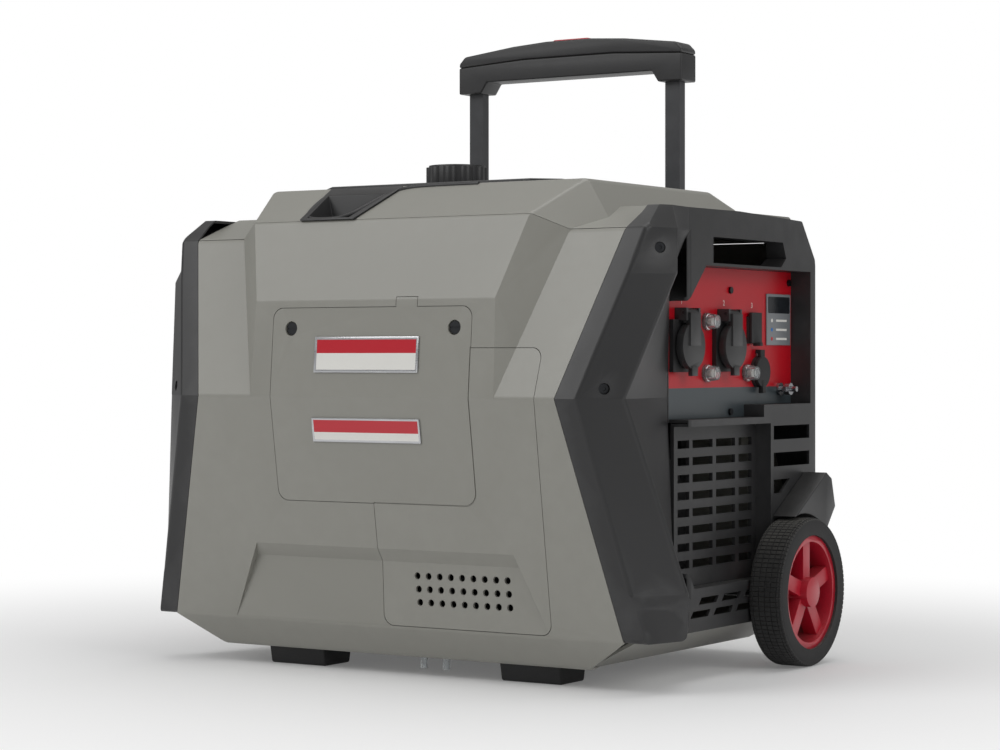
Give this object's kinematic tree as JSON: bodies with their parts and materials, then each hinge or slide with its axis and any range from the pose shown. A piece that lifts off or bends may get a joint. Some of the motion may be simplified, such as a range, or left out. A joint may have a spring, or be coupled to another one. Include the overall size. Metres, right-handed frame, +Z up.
{
  "type": "portable generator",
  "caption": "Closed wheeled inverter generator with moulded covers, control panel, telescopic handle and internal engine.",
  "frame": {"origin": "on the floor, under the middle of the housing's length and depth", "axes": "+X towards the control panel end, +Y towards the telescopic handle, +Z up from the floor"},
  "size_m": [0.6606, 0.456, 0.7],
  "materials": {
    "body_grey": "fine grained satin",
    "black_plastic": "fine grained satin",
    "panel_red": "printed foil",
    "red_plastic": "satin",
    "soft_rubber": "matte",
    "tyre_rubber": "matte",
    "clear_plastic": "clear",
    "button_white": "satin",
    "plated_steel": "zinc plated",
    "painted_tube": "satin black",
    "plate_silver": "brushed",
    "plate_grey": "printed foil",
    "brass": "bright",
    "cast_aluminium": "as cast",
    "tank_steel": "satin black",
    "magnet_steel": "machined"
  },
  "bodies": {
    "housing": {"air_box": "black_plastic", "axle": "plated_steel", "base_tray": "body_grey", "breaker_bodies": "black_plastic", "breaker_boots": "clear_plastic", "carburettor": "cast_aluminium", "carry_grip": "black_plastic", "control_end_cap": "black_plastic", "control_panel": "panel_red", "crankcase": "cast_aluminium", "cylinder": "cast_aluminium", "dc_socket": "black_plastic", "drain_tubes": "clear_plastic", "earth_stud": "plated_steel", "end_grilles": "black_plastic", "engine_mounts": "soft_rubber", "exhaust_end_cap": "black_plastic", "fan_shroud": "black_plastic", "feet": "soft_rubber", "filler_neck": "plated_steel", "front_cover": "body_grey", "fuel_tank": "tank_steel", "handle_guides": "black_plastic", "housing_screws": "plated_steel", "indicator_plate": "plate_grey", "inverter": "cast_aluminium", "muffler": "plated_steel", "rear_cover": "body_grey", "socket_bodies": "black_plastic", "socket_contacts": "brass", "spark_plug": "plated_steel", "stator": "magnet_steel", "top_cover": "body_grey", "top_tray": "black_plastic", "usb_socket": "black_plastic", "wheel_guards": "black_plastic"},
    "service_cover": {"service_cover": "body_grey", "name_plates": "plate_silver"},
    "cover_screw_left": {"cover_screw_left": "black_plastic"},
    "cover_screw_right": {"cover_screw_right": "black_plastic"},
    "handle": {"handle_posts": "painted_tube", "grip_lower": "black_plastic", "grip_upper": "black_plastic"},
    "release_button": {"release_button": "red_plastic"},
    "wheel_left": {"tyre_left": "tyre_rubber", "rim_left": "red_plastic"},
    "wheel_right": {"tyre_right": "tyre_rubber", "rim_right": "red_plastic"},
    "fuel_cap": {"fuel_cap": "black_plastic"},
    "socket_lid_1": {"socket_lid_1": "black_plastic"},
    "socket_lid_2": {"socket_lid_2": "black_plastic"},
    "usb_cover": {"usb_cover": "soft_rubber"},
    "dc_cover": {"dc_cover": "soft_rubber"},
    "breaker_button_1": {"breaker_button_1": "button_white"},
    "breaker_button_2": {"breaker_button_2": "button_white"},
    "breaker_button_3": {"breaker_button_3": "button_white"},
    "earth_nut": {"earth_nut": "plated_steel"},
    "crank_train": {"crankshaft": "plated_steel", "rotor": "magnet_steel"},
    "starter_grip": {"starter_grip": "black_plastic"}
  },
  "joints": [
    {"name": "service_cover_lift", "type": "slide", "parent": "housing", "child": "service_cover", "axis": [0, -1, 0], "range_m": [0, 0.15]},
    {"name": "cover_screw_left_turn", "type": "hinge", "parent": "service_cover", "child": "cover_screw_left", "pos_m": [-0.1026, -0.22255, 0.3618], "axis": [0, 1, 0], "range_deg": [0, 90]},
    {"name": "cover_screw_right_turn", "type": "hinge", "parent": "service_cover", "child": "cover_screw_right", "pos_m": [0.1026, -0.22255, 0.3618], "axis": [0, 1, 0], "range_deg": [0, 90]},
    {"name": "handle_slide", "type": "slide", "parent": "housing", "child": "handle", "axis": [0, 0, 1], "range_m": [-0.125, 0.22]},
    {"name": "release_press", "type": "slide", "parent": "handle", "child": "release_button", "axis": [0, 0, -1], "range_m": [0, 0.004], "stiffness_N_per_m": 600, "springref_m": -0.001},
    {"name": "wheel_left_spin", "type": "hinge", "parent": "housing", "child": "wheel_left", "pos_m": [-0.31, 0.132, 0.0797], "axis": [1, 0, 0], "continuous": true},
    {"name": "wheel_right_spin", "type": "hinge", "parent": "housing", "child": "wheel_right", "pos_m": [0.31, 0.132, 0.0797], "axis": [1, 0, 0], "continuous": true},
    {"name": "fuel_cap_turn", "type": "hinge", "parent": "housing", "child": "fuel_cap", "pos_m": [-0.082, 0.06, 0.53], "axis": [0, 0, 1], "range_deg": [0, 90]},
    {"name": "socket_lid_1_flip", "type": "hinge", "parent": "housing", "child": "socket_lid_1", "pos_m": [0.276, -0.0465, 0.3775], "axis": [0, -1, 0], "range_deg": [0, 110], "stiffness_Nm_per_rad": 0.01},
    {"name": "socket_lid_2_flip", "type": "hinge", "parent": "housing", "child": "socket_lid_2", "pos_m": [0.276, 0.0465, 0.3775], "axis": [0, -1, 0], "range_deg": [0, 110], "stiffness_Nm_per_rad": 0.01},
    {"name": "usb_cover_flip", "type": "hinge", "parent": "housing", "child": "usb_cover", "pos_m": [0.2695, 0.111, 0.3795], "axis": [0, -1, 0], "range_deg": [0, 100]},
    {"name": "dc_cover_flip", "type": "hinge", "parent": "housing", "child": "dc_cover", "pos_m": [0.2695, 0.124, 0.3395], "axis": [0, -1, 0], "range_deg": [0, 100]},
    {"name": "breaker_press_1", "type": "slide", "parent": "housing", "child": "breaker_button_1", "axis": [-1, 0, 0], "range_m": [0, 0.003], "stiffness_N_per_m": 300, "springref_m": -0.0005},
    {"name": "breaker_press_2", "type": "slide", "parent": "housing", "child": "breaker_button_2", "axis": [-1, 0, 0], "range_m": [0, 0.003], "stiffness_N_per_m": 300, "springref_m": -0.0005},
    {"name": "breaker_press_3", "type": "slide", "parent": "housing", "child": "breaker_button_3", "axis": [-1, 0, 0], "range_m": [0, 0.003], "stiffness_N_per_m": 300, "springref_m": -0.0005},
    {"name": "earth_nut_turn", "type": "hinge", "parent": "housing", "child": "earth_nut", "pos_m": [0.278, 0.176, 0.297], "axis": [1, 0, 0], "continuous": true},
    {"name": "crank_spin", "type": "hinge", "parent": "housing", "child": "crank_train", "pos_m": [0, -0.02, 0.135], "axis": [1, 0, 0], "continuous": true},
    {"name": "starter_pull", "type": "slide", "parent": "housing", "child": "starter_grip", "axis": [0, 1, 0], "range_m": [0, 0.5], "stiffness_N_per_m": 40}
  ]
}
